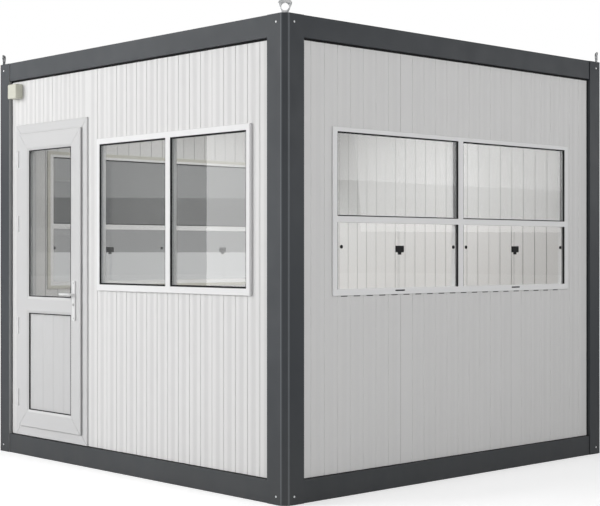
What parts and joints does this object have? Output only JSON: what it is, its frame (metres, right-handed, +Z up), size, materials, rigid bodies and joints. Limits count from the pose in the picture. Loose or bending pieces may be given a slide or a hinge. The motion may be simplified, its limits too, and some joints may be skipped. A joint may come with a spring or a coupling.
{
  "type": "security guard booth",
  "caption": "Square steel-framed guard booth of white ribbed panels, with lifting eyes, a glazed door that opens, a wide front window and four-pane side windows.",
  "frame": {"origin": "centre of the square base frame at ground level", "axes": "+Z up; the front wall with the door faces -Y; the right wall, seen from the front, faces +X"},
  "size_m": [2.872, 2.918, 2.668],
  "materials": {
    "frame_paint": "satin powder coat, anthracite grey",
    "panel_white": "satin white coil coating on ribbed sheet",
    "seal_rubber": "matt black",
    "pvc_white": "satin white extruded profile",
    "glass_clear": "clear float glass",
    "galvanised": "hot-dip galvanised, spangled",
    "floor_board": "sealed plywood deck",
    "roof_sheet": "satin light grey coated sheet",
    "black_plastic": "matt black",
    "cream_plastic": "satin cream moulding",
    "lining_beige": "satin beige trim",
    "handle_white": "satin white enamel",
    "lock_steel": "satin nickel"
  },
  "bodies": {
    "booth": {"corner_post_front_right": "frame_paint", "corner_post_back_right": "frame_paint", "corner_post_back_left": "frame_paint", "corner_post_front_left": "frame_paint", "base_rail_front": "frame_paint", "roof_rail_front": "frame_paint", "base_rail_right": "frame_paint", "roof_rail_right": "frame_paint", "base_rail_back": "frame_paint", "roof_rail_back": "frame_paint", "base_rail_left": "frame_paint", "roof_rail_left": "frame_paint", "lifting_eyes": "galvanised", "base_crossmembers": "galvanised", "floor_deck": "floor_board", "roof_panel": "roof_sheet", "front_wall": "panel_white", "front_wall_over_door": "panel_white", "front_wall_left": "panel_white", "right_wall": "panel_white", "left_wall": "panel_white", "back_wall": "panel_white", "panel_seals": "seal_rubber", "front_window_frame": "pvc_white", "front_window_glass": "glass_clear", "right_window_frame": "pvc_white", "right_window_glass": "glass_clear", "right_sliding_glass": "glass_clear", "left_window_frame": "pvc_white", "left_window_glass": "glass_clear", "left_sliding_glass": "glass_clear", "window_gaskets": "seal_rubber", "sliding_window_latches": "black_plastic", "window_linings": "lining_beige", "door_frame": "pvc_white", "door_hinges_frame": "handle_white", "junction_box": "cream_plastic"},
    "door": {"door_leaf": "pvc_white", "door_glass": "glass_clear", "door_lower_panel": "pvc_white", "door_gaskets": "seal_rubber", "door_hinges_leaf": "handle_white", "door_handle_plates": "handle_white", "door_lock_cylinder": "lock_steel"},
    "lever": {"door_lever": "handle_white"}
  },
  "joints": [
    {"name": "door_hinge", "type": "hinge", "parent": "booth", "child": "door", "pos_m": [-1.179, -1.436, 1.155], "axis": [0, 0, -1], "range_deg": [0, 100]},
    {"name": "lever_turn", "type": "hinge", "parent": "door", "child": "lever", "pos_m": [-0.518, -1.405, 1.071], "axis": [0, -1, 0], "range_deg": [0, 45], "stiffness_Nm_per_rad": 1.5, "springref_deg": -20.05}
  ]
}
